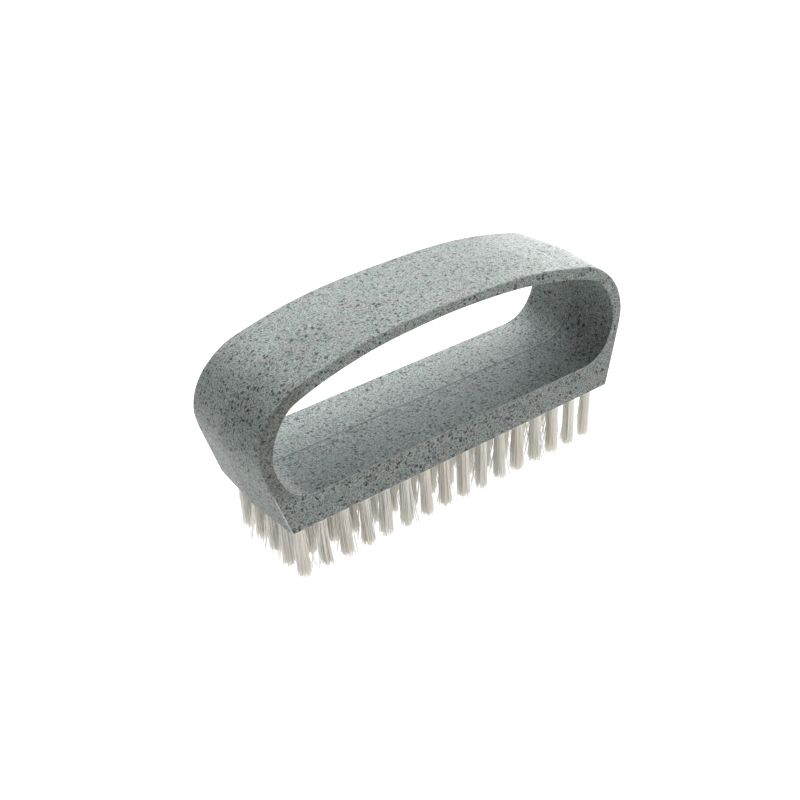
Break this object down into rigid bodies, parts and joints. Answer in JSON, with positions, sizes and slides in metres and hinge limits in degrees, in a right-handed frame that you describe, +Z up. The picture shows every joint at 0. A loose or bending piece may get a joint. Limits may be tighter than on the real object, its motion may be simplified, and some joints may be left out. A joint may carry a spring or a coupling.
{
  "type": "nail brush",
  "caption": "Speckled plastic nail brush with a bow handle over the block and a grid of folded nylon tufts held by flat wire anchors in blind holes.",
  "frame": {"origin": "centre of the plane of the bristle tips, the surface that the brush stands on", "axes": "+X along the brush's length, +Z up from the bristle tips through the handle, -Y out of the front side"},
  "size_m": [0.0904, 0.0262, 0.0474],
  "materials": {
    "speckled_plastic": "satin moulded plastic, grey-green with fine dark granite-like specks",
    "bristle_nylon": "pale translucent nylon filament, cut ends",
    "anchor_wire": "plain drawn flat wire"
  },
  "bodies": {
    "root": {"body": "speckled_plastic", "tuft_r1_c01": "bristle_nylon", "tuft_r1_c02": "bristle_nylon", "tuft_r1_c03": "bristle_nylon", "tuft_r1_c04": "bristle_nylon", "tuft_r1_c05": "bristle_nylon", "tuft_r1_c06": "bristle_nylon", "tuft_r1_c07": "bristle_nylon", "tuft_r1_c08": "bristle_nylon", "tuft_r1_c09": "bristle_nylon", "tuft_r1_c10": "bristle_nylon", "tuft_r1_c11": "bristle_nylon", "tuft_r1_c12": "bristle_nylon", "tuft_r1_c13": "bristle_nylon", "tuft_r1_c14": "bristle_nylon", "tuft_r1_c15": "bristle_nylon", "tuft_r1_c16": "bristle_nylon", "tuft_r5_c01": "bristle_nylon", "tuft_r5_c02": "bristle_nylon", "tuft_r5_c03": "bristle_nylon", "tuft_r5_c04": "bristle_nylon", "tuft_r5_c05": "bristle_nylon", "tuft_r5_c06": "bristle_nylon", "tuft_r5_c07": "bristle_nylon", "tuft_r5_c08": "bristle_nylon", "tuft_r5_c09": "bristle_nylon", "tuft_r5_c10": "bristle_nylon", "tuft_r5_c11": "bristle_nylon", "tuft_r5_c12": "bristle_nylon", "tuft_r5_c13": "bristle_nylon", "tuft_r5_c14": "bristle_nylon", "tuft_r5_c15": "bristle_nylon", "tuft_r5_c16": "bristle_nylon", "tuft_r2_c01": "bristle_nylon", "tuft_r2_c16": "bristle_nylon", "tuft_r3_c01": "bristle_nylon", "tuft_r3_c16": "bristle_nylon", "tuft_r4_c01": "bristle_nylon", "tuft_r4_c16": "bristle_nylon", "tufts_inner_c02": "bristle_nylon", "tufts_inner_c03": "bristle_nylon", "tufts_inner_c04": "bristle_nylon", "tufts_inner_c05": "bristle_nylon", "tufts_inner_c06": "bristle_nylon", "tufts_inner_c07": "bristle_nylon", "tufts_inner_c08": "bristle_nylon", "tufts_inner_c09": "bristle_nylon", "tufts_inner_c10": "bristle_nylon", "tufts_inner_c11": "bristle_nylon", "tufts_inner_c12": "bristle_nylon", "tufts_inner_c13": "bristle_nylon", "tufts_inner_c14": "bristle_nylon", "tufts_inner_c15": "bristle_nylon", "anchors_r1": "anchor_wire", "anchors_r2": "anchor_wire", "anchors_r3": "anchor_wire", "anchors_r4": "anchor_wire", "anchors_r5": "anchor_wire"}
  },
  "joints": []
}
